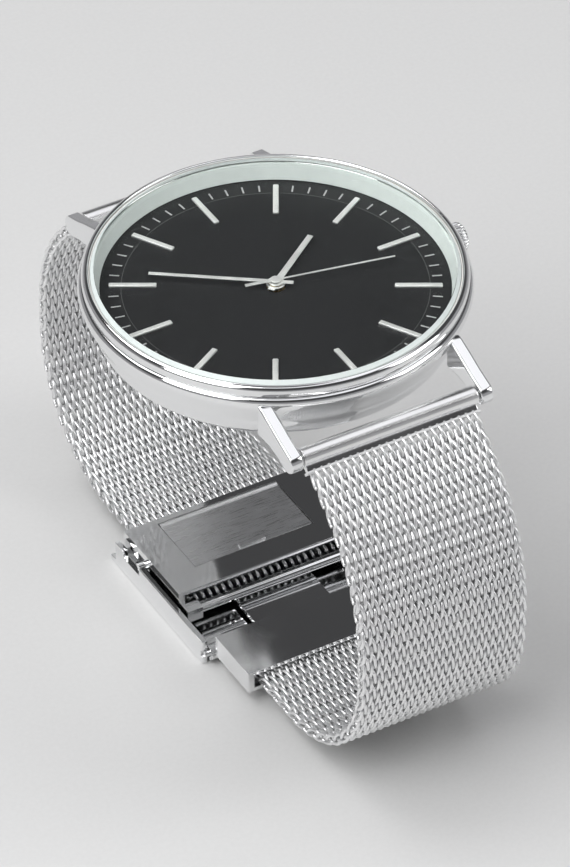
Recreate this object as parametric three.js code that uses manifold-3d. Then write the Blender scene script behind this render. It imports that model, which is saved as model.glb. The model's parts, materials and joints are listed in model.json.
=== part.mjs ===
// A dress wristwatch on a woven-mesh (Milanese) chain band, closed into a loop by a fold-over clasp.
// Frame: millimetres, +Z up out of the dial, +Y towards 12 o'clock, +X towards the crown at 3 o'clock.
// The origin is under the centre of the dial, on the clasp cover's flat outer face, where the loop rests.
import * as THREE from "three";
import { mergeVertices } from "three/addons/utils/BufferGeometryUtils.js";
import Module from "manifold-3d";

const wasm = await Module();
wasm.setup();

// ---- driving dimensions ----
const LUG_GAP = 20; // band width that the lugs take
const BAND_WIDTH = 19.6;
const BAND_THICKNESS = 1.3;
const BAND_FLOOR_Z = 3; // height of the mesh's middle where it crosses the clasp
const SPRING_BAR_U = 22; // distance of each spring bar from the dial's centre
const SPRING_BAR_H = 2.3; // height of the spring bars above the case back
const BAND_DROP = 0.35; // the mesh's middle runs this far inside the spring bar
const SECTION_LENGTHS = [9.8, 8.6, 11, 7.5, 7.5]; // bending line to bending line, from the spring bar down
const SECTION_SLOPES = [40, 65, 90, 120, 150, 180]; // degrees that each section points below level
const ROUND = 64; // facets round a large ring
const HIDDEN = 48; // facets round a ring inside the case
const FINE = 24; // facets round a small pin
const CLEAR = 0.1; // gap between neighbouring pieces

// ---- the loop's bending lines, as (u, z): u is the distance from the dial's centre line ----
const rad = THREE.MathUtils.degToRad;
const slopes = SECTION_SLOPES.map(rad);
const fall = SECTION_LENGTHS.reduce((sum, length, i) => sum + length * Math.sin(slopes[i]), 0);
const BAND_TOP_Z = BAND_FLOOR_Z + fall; // height of the mesh's middle beside the spring bar
const SPRING_BAR_Z = BAND_TOP_Z + BAND_DROP * Math.cos(slopes[0]);
const CASE_Z = SPRING_BAR_Z - SPRING_BAR_H; // height of the case back's flat face

function bendingLines() {
  const points = [new THREE.Vector2(SPRING_BAR_U - BAND_DROP * Math.sin(slopes[0]), BAND_TOP_Z)];
  SECTION_LENGTHS.forEach((length, i) => {
    const last = points[points.length - 1];
    const along = new THREE.Vector2(Math.cos(slopes[i]), -Math.sin(slopes[i])).multiplyScalar(length);
    points.push(last.clone().add(along));
  });
  return points;
}
const BENDS = bendingLines();

// ---- materials ----
const metal = (color, roughness) => new THREE.MeshStandardMaterial({ color, roughness, metalness: 1 });
const plain = (color, roughness) => new THREE.MeshStandardMaterial({ color, roughness, metalness: 0 });
const MATERIALS = {
  steel: metal(0xd9dbdd, 0.1),
  satinSteel: metal(0xc4c6c8, 0.35),
  silver: metal(0xe2e2de, 0.42),
  meshSteel: metal(0xd0d2d4, 0.22),
  brass: metal(0xc8a85a, 0.3),
  copper: metal(0xb06a3c, 0.35),
  dialBlack: plain(0x1b1c1e, 0.45),
  flange: plain(0xdfe3e1, 0.35),
  glass: plain(0xe6f0ee, 0.02),
  rubber: plain(0x1a1a1a, 0.7),
  nylon: plain(0xeeeeea, 0.5),
  board: plain(0x1f5a38, 0.5),
};

// ---- solids ----
function solidOf(geometry) {
  const bare = geometry.index ? geometry.toNonIndexed() : geometry.clone();
  bare.deleteAttribute("normal");
  bare.deleteAttribute("uv");
  const merged = mergeVertices(bare, 1e-4);
  const mesh = new wasm.Mesh({
    numProp: 3,
    vertProperties: merged.attributes.position.array,
    triVerts: new Uint32Array(merged.index.array),
  });
  return new wasm.Manifold(mesh);
}

function geometryOf(solid) {
  const mesh = solid.getMesh();
  const geometry = new THREE.BufferGeometry();
  geometry.setAttribute("position", new THREE.BufferAttribute(mesh.vertProperties, 3));
  geometry.setIndex(new THREE.BufferAttribute(mesh.triVerts, 1));
  return geometry;
}

const joined = (...solids) => solids.reduce((whole, part) => whole.add(part));
const cut = (solid, ...tools) => tools.reduce((rest, tool) => rest.subtract(tool), solid);

// A ring or disc turned about +Z from (radius, height) points that run anticlockwise.
function turned(points, facets = ROUND) {
  const profile = points.map(([r, h]) => new THREE.Vector2(r, h));
  if (points[0][0] > 0) profile.push(profile[0].clone());
  return solidOf(new THREE.LatheGeometry(profile, facets).rotateX(Math.PI / 2));
}

const ring = (inner, outer, low, high, facets = ROUND) =>
  turned([[inner, low], [outer, low], [outer, high], [inner, high]], facets);

const disc = (radius, low, high, facets = ROUND) =>
  turned([[0, low], [radius, low], [radius, high], [0, high]], facets);

const discAt = ([x, y], radius, low, high, facets = FINE) =>
  disc(radius, low, high, facets).translate([x, y, 0]);

// A round bar along +X between two x values, about the line (y, z).
function barX(radius, from, to, y, z, facets = FINE) {
  const bar = new THREE.CylinderGeometry(radius, radius, to - from, facets).rotateZ(Math.PI / 2);
  return solidOf(bar.translate((from + to) / 2, y, z));
}

function box(lowX, highX, lowY, highY, lowZ, highZ) {
  const block = new THREE.BoxGeometry(highX - lowX, highY - lowY, highZ - lowZ);
  return solidOf(block.translate((lowX + highX) / 2, (lowY + highY) / 2, (lowZ + highZ) / 2));
}

// A flat plate of an outline in X and Y, between two heights.
function plate(outline, low, high) {
  const shape = new THREE.Shape(outline.map(([x, y]) => new THREE.Vector2(x, y)));
  const slab = new THREE.ExtrudeGeometry(shape, { depth: high - low, bevelEnabled: false });
  return solidOf(slab.translate(0, 0, low));
}

// A prism along X of an outline in (u, z), on the side where y has the given sign.
function sidePrism(outline, side, lowX, highX) {
  const shape = new THREE.Shape(outline.map(([u, z]) => new THREE.Vector2(side * u, z)));
  const prism = new THREE.ExtrudeGeometry(shape, { depth: highX - lowX, bevelEnabled: false });
  const toYZ = new THREE.Matrix4().makeBasis(
    new THREE.Vector3(0, 1, 0),
    new THREE.Vector3(0, 0, 1),
    new THREE.Vector3(1, 0, 0),
  );
  return solidOf(prism.applyMatrix4(toYZ).translate(lowX, 0, 0));
}

// A tooth's corners as (share of a tooth's angle, rise above the pitch circle in modules).
const PINION_TOOTH = [[-0.32, -1], [-0.1, 0.8], [0.1, 0.8], [0.32, -1]];
const WHEEL_TOOTH = [[-0.1, 0.8], [0.1, 0.8], [0.32, -1]];
const MOST_PINION_TEETH = 20;

// A toothed wheel about the point `at`. One tooth points along phase.
function gear({ at = [0, 0], teeth, module, phase = 0, low, high, hole = 0 }) {
  const pitchRadius = (teeth * module) / 2;
  const corners = teeth > MOST_PINION_TEETH ? WHEEL_TOOTH : PINION_TOOTH;
  const points = [];
  for (let i = 0; i < teeth; i++) {
    for (const [share, rise] of corners) {
      const angle = phase + (2 * Math.PI * (i + share)) / teeth;
      const radius = pitchRadius + rise * module;
      points.push([at[0] + radius * Math.cos(angle), at[1] + radius * Math.sin(angle)]);
    }
  }
  const wheel = plate(points, low, high);
  return hole ? cut(wheel, discAt(at, hole, low - 1, high + 1)) : wheel;
}

const object = new THREE.Group();
const watch = new THREE.Group(); // the case and all it holds, with the case back's face at z 0
watch.position.z = CASE_Z;
object.add(watch);

function place(group, name, solid, material) {
  const mesh = new THREE.Mesh(geometryOf(solid), material);
  mesh.name = name;
  group.add(mesh);
}

// ---- case ----
const STEM_H = 2.9; // height of the winding stem above the case back
const LUG_WIDTH = 1.4;
const LUG_TIP = 1.15; // radius of the rounded tip about the spring bar
const TUBE_BORE = 0.95; // hole in the case wall for the crown tube

function lugOutline() {
  const outline = [[16.3, 1.9], [18.6, 2.05], [20.2, 1.75]];
  for (let degrees = -115; degrees <= 65; degrees += 20) {
    const angle = rad(degrees);
    outline.push([SPRING_BAR_U + LUG_TIP * Math.cos(angle), SPRING_BAR_H + LUG_TIP * Math.sin(angle)]);
  }
  return [...outline, [20.6, 3.95], [18.9, 4.65], [17, 5.35], [16.3, 5.5]];
}

function caseMiddle() {
  const shell = turned([
    [17, 0.3], [17.5, 0.3], [18.1, 0.9], [18.55, 1.9], [18.75, 2.7], [19.3, 3.8], [19.7, 4.8], [19.85, 5.4],
    [19.75, 5.8], [19.45, 6.1], [18.45, 6.1], [18.45, 3.9], [16.2, 3.9], [16.2, 1.35], [17, 1.35],
  ]);
  const inner = LUG_GAP / 2 + CLEAR;
  let body = shell;
  for (const side of [-1, 1]) {
    for (const low of [inner, -inner - LUG_WIDTH]) {
      body = body.add(sidePrism(lugOutline(), side, low, low + LUG_WIDTH));
    }
    const pinHole = barX(0.4, -inner - 1.1, inner + 1.1, side * SPRING_BAR_U, SPRING_BAR_H);
    body = body.subtract(pinHole);
  }
  return cut(body, barX(TUBE_BORE, 15, 21, 0, STEM_H));
}
place(watch, "case_middle", caseMiddle(), MATERIALS.steel);

const bezel = turned([
  [18.75, 6.2], [19.4, 6.2], [19.42, 6.6], [19.35, 6.95], [19.15, 7.2], [18.9, 7.3], [18.75, 7.2],
]);
place(watch, "bezel", bezel, MATERIALS.steel);
const crystal = turned([[0, 6.25], [18.5, 6.25], [18.5, 7.05], [18.15, 7.4], [0, 7.4]]);
place(watch, "crystal", crystal, MATERIALS.glass);
place(watch, "crystal_gasket", ring(18.55, 18.7, 6.25, 7), MATERIALS.nylon);
const flangeRing = turned([[17.6, 4.42], [18.38, 4.42], [18.38, 6.12], [18.15, 6.12]]);
place(watch, "dial_flange_ring", flangeRing, MATERIALS.flange);

const caseBack = turned([
  [0, 0], [15.2, 0], [16.5, 0.3], [16.9, 0.5], [16.9, 0.95],
  [16.05, 0.95], [16.05, 1.9], [15.3, 1.9], [15.3, 0.8], [0, 0.8],
]);
const openerSlots = [0, 1, 2, 3, 4, 5].map((i) =>
  box(15.9, 17.5, -1.2, 1.2, -1, 0.5).rotate([0, 0, 60 * i + 30]),
);
place(watch, "case_back", cut(caseBack, ...openerSlots), MATERIALS.satinSteel);
place(watch, "case_back_gasket", ring(16.2, 16.85, 1.02, 1.28, HIDDEN), MATERIALS.rubber);

// ---- dial, with its twelve raised hour batons ----
const DIAL_TOP = 4.35;
const BATON = { inner: 11.9, outer: 16.7, width: 0.6, height: 0.22 };

function dial() {
  const half = BATON.width / 2;
  const marker = box(-half, half, BATON.inner, BATON.outer, DIAL_TOP - 0.1, DIAL_TOP + BATON.height);
  let body = ring(1, 18, DIAL_TOP - 0.4, DIAL_TOP);
  for (let hour = 0; hour < 12; hour++) {
    body = body.add(marker.rotate([0, 0, -30 * hour]));
  }
  return body;
}
place(watch, "dial", dial(), MATERIALS.dialBlack);

// ---- hands. Each is drawn pointing at 12 and turned clockwise, by its degrees, to the time shown ----
const HANDS = {
  hour_hand: {
    degrees: 54, outline: taper(1.2, 8.6, 0.36, 0.3), hub: 0.95, hole: 0.72, low: 4.64, high: 4.76,
  },
  minute_hand: {
    degrees: 306, outline: taper(1.8, 12.8, 0.25, 0.2), hub: 0.75, hole: 0.46, low: 4.87, high: 4.98,
  },
  seconds_hand: {
    degrees: 102, outline: needle(3.2, 12.6, 0.2, 0.08), hub: 0.55, hole: 0, low: 5.1, high: 5.2,
  },
};

// A blade from its tail to its tip, with half widths at the tail and at the tip.
function taper(tail, tip, tailHalf, tipHalf) {
  return [[-tailHalf, -tail], [tailHalf, -tail], [tipHalf, tip], [-tipHalf, tip]];
}

// A thin blade with a wider counterweight behind the hub.
function needle(tail, tip, tailHalf, tipHalf) {
  const right = [[tailHalf, -tail], [tailHalf, -0.4], [tipHalf, 0.4], [tipHalf, tip]];
  const left = right.map(([x, y]) => [-x, y]).reverse();
  return [...right, ...left];
}

for (const [name, { degrees, outline, hub, hole, low, high }] of Object.entries(HANDS)) {
  const blade = joined(plate(outline, low, high), disc(hub, low, high, FINE));
  const bored = hole ? cut(blade, disc(hole, low - 1, high + 1, FINE)) : blade;
  place(watch, name, bored.rotate([0, 0, -degrees]), MATERIALS.silver);
}

// ---- movement: plate, bridge, power and stepping motor ----
const BATTERY_AT = [-7.7, 2.1];
const THIRD_AT = [2.404, 2.404]; // 3.4 from the centre
const FIFTH_AT = [0, -3];
const ROTOR_AT = [1.5, -4.47]; // 2.1 from the fifth wheel
const MINUTE_WHEEL_AT = [0, 2.4];
const SETTING_WHEEL_AT = [2.63, 1.44]; // 2.8 from the minute wheel, over the stem's end
const BATTERY = { radius: 3.95, low: 1.2, high: 3.25, facets: 32 };

const holder = cut(
  turned([[13.1, 1], [15.1, 1], [15.1, 2], [16.1, 2], [16.1, 3.88], [13.1, 3.88]], HIDDEN),
  barX(0.65, 12, 17, 0, STEM_H),
);
place(watch, "movement_holder", holder, MATERIALS.nylon);

const mainPlate = cut(
  ring(0.9, 13, 2.35, 3.5, HIDDEN),
  discAt(BATTERY_AT, BATTERY.radius + 0.15, 2, BATTERY.high + CLEAR, BATTERY.facets),
  barX(0.62, 2.6, 14, 0, STEM_H),
  box(2.6, 6.9, -1.1, 1.1, 2, 3.75),
  box(7.6, 10.2, -0.2, 3.4, 2, 3.2),
);
place(watch, "main_plate", mainPlate, MATERIALS.brass);

const bridgeOutline = [
  [-4, -5.9], [3.4, -5.9], [6.2, -1], [6.2, 4.6],
  [3.4, 6.2], [-1, 6.2], [-3.4, 3], [-3.4, -1],
];
place(watch, "train_bridge", plate(bridgeOutline, 0.98, 1.16), MATERIALS.brass);

const battery = discAt(BATTERY_AT, BATTERY.radius, BATTERY.low, BATTERY.high, BATTERY.facets);
place(watch, "battery", battery, MATERIALS.satinSteel);

const boardOutline = [
  [-9.5, -6.3], [9.5, -6.3], [10.6, -4.6], [11.8, -4.6], [9.8, -7.8],
  [7, -10.4], [3, -12], [-3, -12], [-7, -10.4], [-11, -6.3],
];
place(watch, "circuit_board", plate(boardOutline, 1, 1.18), MATERIALS.board);

const COIL = { y: -8.6, z: 1.78, core: 0.45, winding: 0.54 };
const coilCore = barX(COIL.core, -5, 5.4, COIL.y, COIL.z, 16);
const coilWinding = barX(COIL.winding, -4, 4.4, COIL.y, COIL.z, 16);
place(watch, "coil", coilCore.add(coilWinding), MATERIALS.copper);

const statorOutline = [
  [-5.6, -7.7], [5.6, -7.7], [5.6, -6.2], [2.9, -3.2], [0.2, -3.9], [-2, -5.6], [-5.6, -6.2],
];
const stator = cut(
  plate(statorOutline, 1.95, 2.2),
  discAt(ROTOR_AT, 0.95, 1, 3),
  discAt(FIFTH_AT, 0.7, 1, 3),
);
place(watch, "stator", stator, MATERIALS.satinSteel);

// ---- going train: rotor, fifth, seconds and third wheels, then the centre wheel ----
const CENTRE = [0, 0];
const direction = (from, to) => Math.atan2(to[1] - from[1], to[0] - from[0]);
const halfTooth = (teeth) => Math.PI / teeth;

// Two meshing wheels: the wheel points a tooth at the pinion, and the pinion a gap at the wheel.
const wheel = (at, pinionAt, size) => gear({ at, phase: direction(at, pinionAt), ...size });
const pinion = (at, wheelAt, size) =>
  gear({ at, phase: direction(at, wheelAt) + halfTooth(size.teeth), ...size });

const rotor = joined(
  discAt(ROTOR_AT, 0.7, 1.8, 2.28),
  pinion(ROTOR_AT, FIFTH_AT, { teeth: 6, module: 0.1, low: 1.45, high: 1.75 }),
  discAt(ROTOR_AT, 0.12, 1.2, 2, 12),
);
place(watch, "motor_rotor", rotor, MATERIALS.satinSteel);

const fifth = joined(
  wheel(FIFTH_AT, ROTOR_AT, { teeth: 36, module: 0.1, low: 1.52, high: 1.64 }),
  pinion(FIFTH_AT, CENTRE, { teeth: 8, module: 0.125, low: 1.6, high: 1.92 }),
  discAt(FIFTH_AT, 0.12, 1.2, 2.02, 12),
);
place(watch, "fifth_wheel", fifth, MATERIALS.brass);

const seconds = joined(
  wheel(CENTRE, FIFTH_AT, { teeth: 40, module: 0.125, low: 1.74, high: 1.86 }),
  pinion(CENTRE, THIRD_AT, { teeth: 8, module: 0.1, low: 1.3, high: 1.6 }),
  disc(0.18, 1.2, 5.08, 12),
);
place(watch, "seconds_wheel", seconds, MATERIALS.brass);

const third = joined(
  wheel(THIRD_AT, CENTRE, { teeth: 60, module: 0.1, low: 1.38, high: 1.5 }),
  pinion(THIRD_AT, CENTRE, { teeth: 10, module: 0.0755, low: 1.98, high: 2.26 }),
  discAt(THIRD_AT, 0.14, 1.2, 2.3, 12),
);
place(watch, "third_wheel", third, MATERIALS.brass);

const centreWheel = joined(
  wheel(CENTRE, THIRD_AT, { teeth: 80, module: 0.0755, low: 2.08, high: 2.2, hole: 0.45 }),
  ring(0.46, 0.7, 2.1, 3.3, FINE),
);
place(watch, "centre_wheel", centreWheel, MATERIALS.brass);

const cannonPinion = joined(
  ring(0.24, 0.42, 2.06, 5, FINE),
  wheel(CENTRE, MINUTE_WHEEL_AT, { teeth: 12, module: 0.1, low: 3.52, high: 3.68, hole: 0.3 }),
);
place(watch, "cannon_pinion", cannonPinion, MATERIALS.satinSteel);

// ---- motion work under the dial, and the setting wheel ----
const minuteWheel = joined(
  pinion(MINUTE_WHEEL_AT, CENTRE, { teeth: 36, module: 0.1, low: 3.54, high: 3.66 }),
  pinion(MINUTE_WHEEL_AT, CENTRE, { teeth: 10, module: 0.096, low: 3.6, high: 3.88 }),
);
place(watch, "minute_wheel", minuteWheel, MATERIALS.brass);

const hourWheel = joined(
  wheel(CENTRE, MINUTE_WHEEL_AT, { teeth: 40, module: 0.096, low: 3.74, high: 3.86, hole: 0.52 }),
  ring(0.5, 0.68, 3.74, 4.78, FINE),
);
place(watch, "hour_wheel", hourWheel, MATERIALS.brass);

const settingWheel = wheel(SETTING_WHEEL_AT, MINUTE_WHEEL_AT, {
  teeth: 20, module: 0.1, low: 3.54, high: 3.66,
});
place(watch, "setting_wheel", settingWheel, MATERIALS.satinSteel);

// ---- crown, stem and keyless work ----
// Turns a profile of (radius, x) points about the stem's line.
const aboutStem = (points, facets = FINE) =>
  turned(points, facets).rotate([0, 90, 0]).translate([0, 0, STEM_H]);
const CROWN = { radius: 1.6, inner: 20.1, outer: 22, flutes: 26, fluteDepth: 0.11 };

function crown() {
  const outline = [];
  for (let i = 0; i < CROWN.flutes * 2; i++) {
    const angle = (Math.PI * i) / CROWN.flutes;
    const reach = CROWN.radius - (i % 2) * CROWN.fluteDepth;
    outline.push([reach * Math.cos(angle), reach * Math.sin(angle)]);
  }
  const { radius, inner, outer, flutes } = CROWN;
  const fluted = plate(outline, inner, outer - 0.5);
  const cap = disc(radius - 0.18, outer - 0.6, outer - 0.15, flutes);
  const domeBase = radius - 0.3;
  const dome = turned(
    [[0, outer - 0.3], [domeBase, outer - 0.3], [domeBase - 0.35, outer], [0, outer]],
    flutes,
  );
  const recess = disc(1.15, inner - 1, inner + 0.8, FINE);
  return cut(joined(fluted, cap, dome), recess).rotate([0, 90, 0]).translate([0, 0, STEM_H]);
}
place(watch, "crown", crown(), MATERIALS.steel);

const crownGasket = aboutStem([[0.6, 20.45], [1.08, 20.45], [1.08, 20.75], [0.6, 20.75]]);
place(watch, "crown_gasket", crownGasket, MATERIALS.rubber);

const crownTube = aboutStem([[0.56, 16.5], [0.85, 16.5], [0.85, 20.35], [0.56, 20.35]]);
place(watch, "crown_tube", crownTube, MATERIALS.steel);

const stem = aboutStem([
  [0, 3.1], [0.3, 3.1], [0.3, 7.6], [0.45, 7.6], [0.45, 8.1],
  [0.25, 8.1], [0.25, 8.5], [0.45, 8.5], [0.45, 20.85], [0, 20.85],
]);
place(watch, "winding_stem", stem, MATERIALS.satinSteel);

const clutch = gear({ teeth: 12, module: 0.09, low: 3.3, high: 5.2, hole: 0.34 });
const slidingPinion = clutch.rotate([0, 90, 0]).translate([0, 0, STEM_H]);
place(watch, "sliding_pinion", slidingPinion, MATERIALS.satinSteel);

const lever = cut(box(8.18, 8.42, 0, 3, 2.5, 3.1), barX(0.3, 8, 9, 0, STEM_H));
place(watch, "setting_lever", lever, MATERIALS.satinSteel);

// ---- band: spring bars, end links and woven sections that bend at the bending lines ----
const SIDES = { 6: -1, 12: 1 };
const MESH_START = 1.55; // from the first bending line to the mesh's first row
const MESH_END_Y = { 6: -7.3, 12: 2.3 }; // where each half's mesh ends, inside the clasp
const SECTION_GAP = 0.05; // left clear at both ends of a section
const SPRING_BAR = { radius: 0.42, half: 9.8, tipRadius: 0.3, tipHalf: 11.05 };
const END_LINK = { radius: 1, half: 9.9, bore: 0.52, lipHalf: 9.7, lipOff: 0.3 };

// The (u, z) point at a distance along section i and off its middle plane, positive outwards of the loop.
function onSection(i, along, off) {
  const slope = slopes[i];
  const start = BENDS[i];
  return [
    start.x + along * Math.cos(slope) + off * Math.sin(slope),
    start.y - along * Math.sin(slope) + off * Math.cos(slope),
  ];
}

// Section i is square-ended outside its middle plane and mitred inside it, so that neighbours never touch.
function bandSection(i, side, from, to) {
  const half = BAND_THICKNESS / 2;
  const startMitre = i === 0 ? 0 : half * Math.tan((slopes[i] - slopes[i - 1]) / 2);
  const endMitre = i === BENDS.length - 1 ? 0 : half * Math.tan((slopes[i + 1] - slopes[i]) / 2);
  const outline = [
    onSection(i, from, half),
    onSection(i, from, 0),
    onSection(i, from + startMitre, -half),
    onSection(i, to - endMitre, -half),
    onSection(i, to, 0),
    onSection(i, to, half),
  ];
  return sidePrism(outline, side, -BAND_WIDTH / 2, BAND_WIDTH / 2);
}

function endLink(side) {
  const y = side * SPRING_BAR_U;
  const { radius, half, bore, lipHalf, lipOff } = END_LINK;
  const lipStart = 0.2;
  const lipEnd = MESH_START - SECTION_GAP;
  const lipOutline = [
    onSection(0, lipStart, lipOff),
    onSection(0, lipStart, -lipOff),
    onSection(0, lipEnd, -lipOff),
    onSection(0, lipEnd, lipOff),
  ];
  const tube = barX(radius, -half, half, y, SPRING_BAR_Z, 32);
  return cut(tube.add(sidePrism(lipOutline, side, -lipHalf, lipHalf)), barX(bore, -11, 11, y, SPRING_BAR_Z));
}

for (const [clock, side] of Object.entries(SIDES)) {
  const y = side * SPRING_BAR_U;
  const bar = joined(
    barX(SPRING_BAR.radius, -SPRING_BAR.half, SPRING_BAR.half, y, SPRING_BAR_Z),
    barX(SPRING_BAR.tipRadius, -SPRING_BAR.tipHalf, SPRING_BAR.tipHalf, y, SPRING_BAR_Z),
  );
  place(object, `spring_bar_${clock}`, bar, MATERIALS.satinSteel);
  place(object, `end_link_${clock}`, endLink(side), MATERIALS.steel);

  for (let i = 0; i < BENDS.length; i++) {
    const last = i === BENDS.length - 1;
    const from = i === 0 ? MESH_START : SECTION_GAP;
    const to = last ? BENDS[i].x - side * MESH_END_Y[clock] : SECTION_LENGTHS[i] - SECTION_GAP;
    place(object, `band_${clock}_section_${i + 1}`, bandSection(i, side, from, to), MATERIALS.meshSteel);
  }
}

// ---- clasp: base on the 6 o'clock half, slider on the 12 o'clock half, and a cover hinged to the base ----
const HINGE = { y: -5, z: 1.25, pin: 0.35, barrel: 0.85 };
const COVER = { end: 14.5, half: 11.6, wall: 0.6, floor: 0.6, top: 2.9 };
const SLEEVE = { half: 10.7, low: 1.75, high: 4.25 };
const SLOT = { half: 10, low: 2.2, high: 3.8 };

function claspBase() {
  const sleeve = cut(
    box(-SLEEVE.half, SLEEVE.half, -13, -6.2, SLEEVE.low, SLEEVE.high),
    box(-SLOT.half, SLOT.half, -14, -7.1, SLOT.low, SLOT.high),
  );
  const neck = box(-5.9, 5.9, -6.3, -5, 1.5, 2.1);
  const barrel = barX(HINGE.barrel, -5.9, 5.9, HINGE.y, HINGE.z);
  const tongue = box(-4.5, 4.5, -5, 1.2, 1.12, 1.5);
  const lip = box(-4.5, 4.5, 0.85, 1.2, 1.3, 1.85);
  const pinBore = barX(HINGE.pin + 0.06, -12, 12, HINGE.y, HINGE.z);
  return cut(joined(sleeve, neck, barrel, tongue, lip), pinBore);
}
place(object, "clasp_base", claspBase(), MATERIALS.steel);

function claspCover() {
  const floor = box(-COVER.half, COVER.half, -3.9, COVER.end, 0, COVER.floor);
  const grip = box(-5, 5, COVER.end - 0.5, COVER.end + 1.2, 0, COVER.floor);
  let cover = joined(floor, grip);
  for (const side of [-1, 1]) {
    const [low, high] = [side * (COVER.half - COVER.wall), side * COVER.half].sort((a, b) => a - b);
    const wall = box(low, high, -5, COVER.end - 1, 0, COVER.top);
    const studNotch = box(low - 1, high + 1, 8.4, 11.8, 2.05, 4);
    const [armLow, armHigh] = [side * 6.1, side * 10.9].sort((a, b) => a - b);
    const arm = box(armLow, armHigh, -5, -3.5, 0.4, 1.6);
    const knuckle = barX(HINGE.barrel, armLow, armHigh, HINGE.y, HINGE.z);
    const foot = box(armLow, armHigh, -4.3, -3.5, 0.2, 1);
    cover = joined(cover, cut(wall, studNotch), arm, knuckle, foot);
  }
  return cut(cover, barX(HINGE.pin + 0.06, -12, 12, HINGE.y, HINGE.z));
}
place(object, "clasp_cover", claspCover(), MATERIALS.steel);
place(object, "clasp_hinge_pin", barX(HINGE.pin, -11.4, 11.4, HINGE.y, HINGE.z), MATERIALS.satinSteel);

const SLIDER_BAR = { y: 0.3, z: 2.5, radius: 0.5 };
const TAB = { half: 7, from: 4.6, to: 12, hingeY: 12.1, z: 4.1 };

function claspSlider() {
  const sleeve = cut(
    box(-SLEEVE.half, SLEEVE.half, 1.5, 13.2, SLEEVE.low, SLEEVE.high),
    box(-SLOT.half, SLOT.half, 0, 14, SLOT.low, SLOT.high),
    box(-TAB.half - CLEAR, TAB.half + CLEAR, TAB.from - CLEAR, TAB.to + 0.5, 3.5, 5),
  );
  let slider = sleeve;
  for (const side of [-1, 1]) {
    const [low, high] = [side * 8.9, side * SLEEVE.half].sort((a, b) => a - b);
    slider = slider.add(box(low, high, -0.4, 1.6, SLEEVE.low, 3.2));
  }
  const studs = barX(0.4, -11.4, -10.5, 9, 2.75, 16).add(barX(0.4, 10.5, 11.4, 9, 2.75, 16));
  return cut(slider, barX(SLIDER_BAR.radius + 0.03, -9.9, 9.9, SLIDER_BAR.y, SLIDER_BAR.z)).add(studs);
}
place(object, "clasp_slider", claspSlider(), MATERIALS.steel);
place(object, "slider_bar", barX(SLIDER_BAR.radius, -9.8, 9.8, SLIDER_BAR.y, SLIDER_BAR.z), MATERIALS.steel);
const lockTab = joined(
  box(-TAB.half, TAB.half, TAB.from, TAB.to, 3.85, 4.2),
  barX(0.3, -TAB.half, TAB.half, TAB.hingeY, TAB.z, 16),
  box(-1.5, 1.5, TAB.from + 0.2, TAB.from + 0.8, 4.1, 4.45),
);
place(object, "slider_lock_tab", lockTab, MATERIALS.satinSteel);

export default object;
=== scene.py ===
"""Looks of a dress wristwatch on a closed woven chain band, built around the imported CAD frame.

Lengths in the tables are millimetres. Heights h are above the case back's flat face.
"""

import json
import math

import bmesh
import bpy
import numpy as np
from mathutils import Matrix, Vector


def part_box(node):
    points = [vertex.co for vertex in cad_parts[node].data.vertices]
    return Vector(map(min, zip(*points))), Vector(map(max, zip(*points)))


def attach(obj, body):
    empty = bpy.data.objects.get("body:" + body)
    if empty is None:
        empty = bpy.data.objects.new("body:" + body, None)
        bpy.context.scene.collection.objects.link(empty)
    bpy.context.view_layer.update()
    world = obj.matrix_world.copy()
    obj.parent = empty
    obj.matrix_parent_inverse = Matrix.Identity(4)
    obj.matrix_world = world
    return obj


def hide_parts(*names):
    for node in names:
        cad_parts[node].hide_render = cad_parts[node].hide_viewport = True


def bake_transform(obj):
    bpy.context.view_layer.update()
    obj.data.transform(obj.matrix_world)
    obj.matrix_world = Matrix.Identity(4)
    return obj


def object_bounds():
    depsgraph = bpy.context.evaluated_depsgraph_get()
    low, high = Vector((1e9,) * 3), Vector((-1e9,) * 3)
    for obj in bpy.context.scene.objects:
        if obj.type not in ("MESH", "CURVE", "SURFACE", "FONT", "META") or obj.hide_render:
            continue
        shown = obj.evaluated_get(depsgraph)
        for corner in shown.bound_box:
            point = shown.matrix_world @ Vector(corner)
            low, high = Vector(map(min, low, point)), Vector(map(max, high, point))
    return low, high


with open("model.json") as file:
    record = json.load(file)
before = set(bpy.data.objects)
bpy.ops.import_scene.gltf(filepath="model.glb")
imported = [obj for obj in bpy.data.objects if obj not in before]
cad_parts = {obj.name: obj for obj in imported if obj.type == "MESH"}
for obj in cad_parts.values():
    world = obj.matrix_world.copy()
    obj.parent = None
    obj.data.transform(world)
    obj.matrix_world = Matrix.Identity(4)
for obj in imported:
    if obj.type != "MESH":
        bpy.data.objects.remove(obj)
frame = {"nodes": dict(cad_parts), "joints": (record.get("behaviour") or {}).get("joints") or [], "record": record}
cad_low, cad_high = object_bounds()

MM = 0.001
CASE_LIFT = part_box("case_back")[0].z / MM  # the case back's flat face above the ground
SIDES = {6: -1, 12: 1}  # each band half's hour, and its direction along Y
AROUND = 256  # facets round a large ring
SMOOTH_BELOW = math.radians(32)  # edges flatter than this are shaded smooth
ROUNDED_ABOVE = math.radians(28)  # edges sharper than this are rounded
FLAT_BELOW = math.radians(1)  # CAD triangles flatter than this to each other are one face
MERGED = 0.0005  # CAD vertices nearer than this are one


# ---- materials ----
def grey(level):
    return level, level, level


def link(tree, output, target):
    tree.links.new(output, target)


def node(tree, kind, **values):
    """A new node with those values on its inputs."""
    made = tree.nodes.new(kind)
    for name, value in values.items():
        made.inputs[name].default_value = value
    return made


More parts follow.
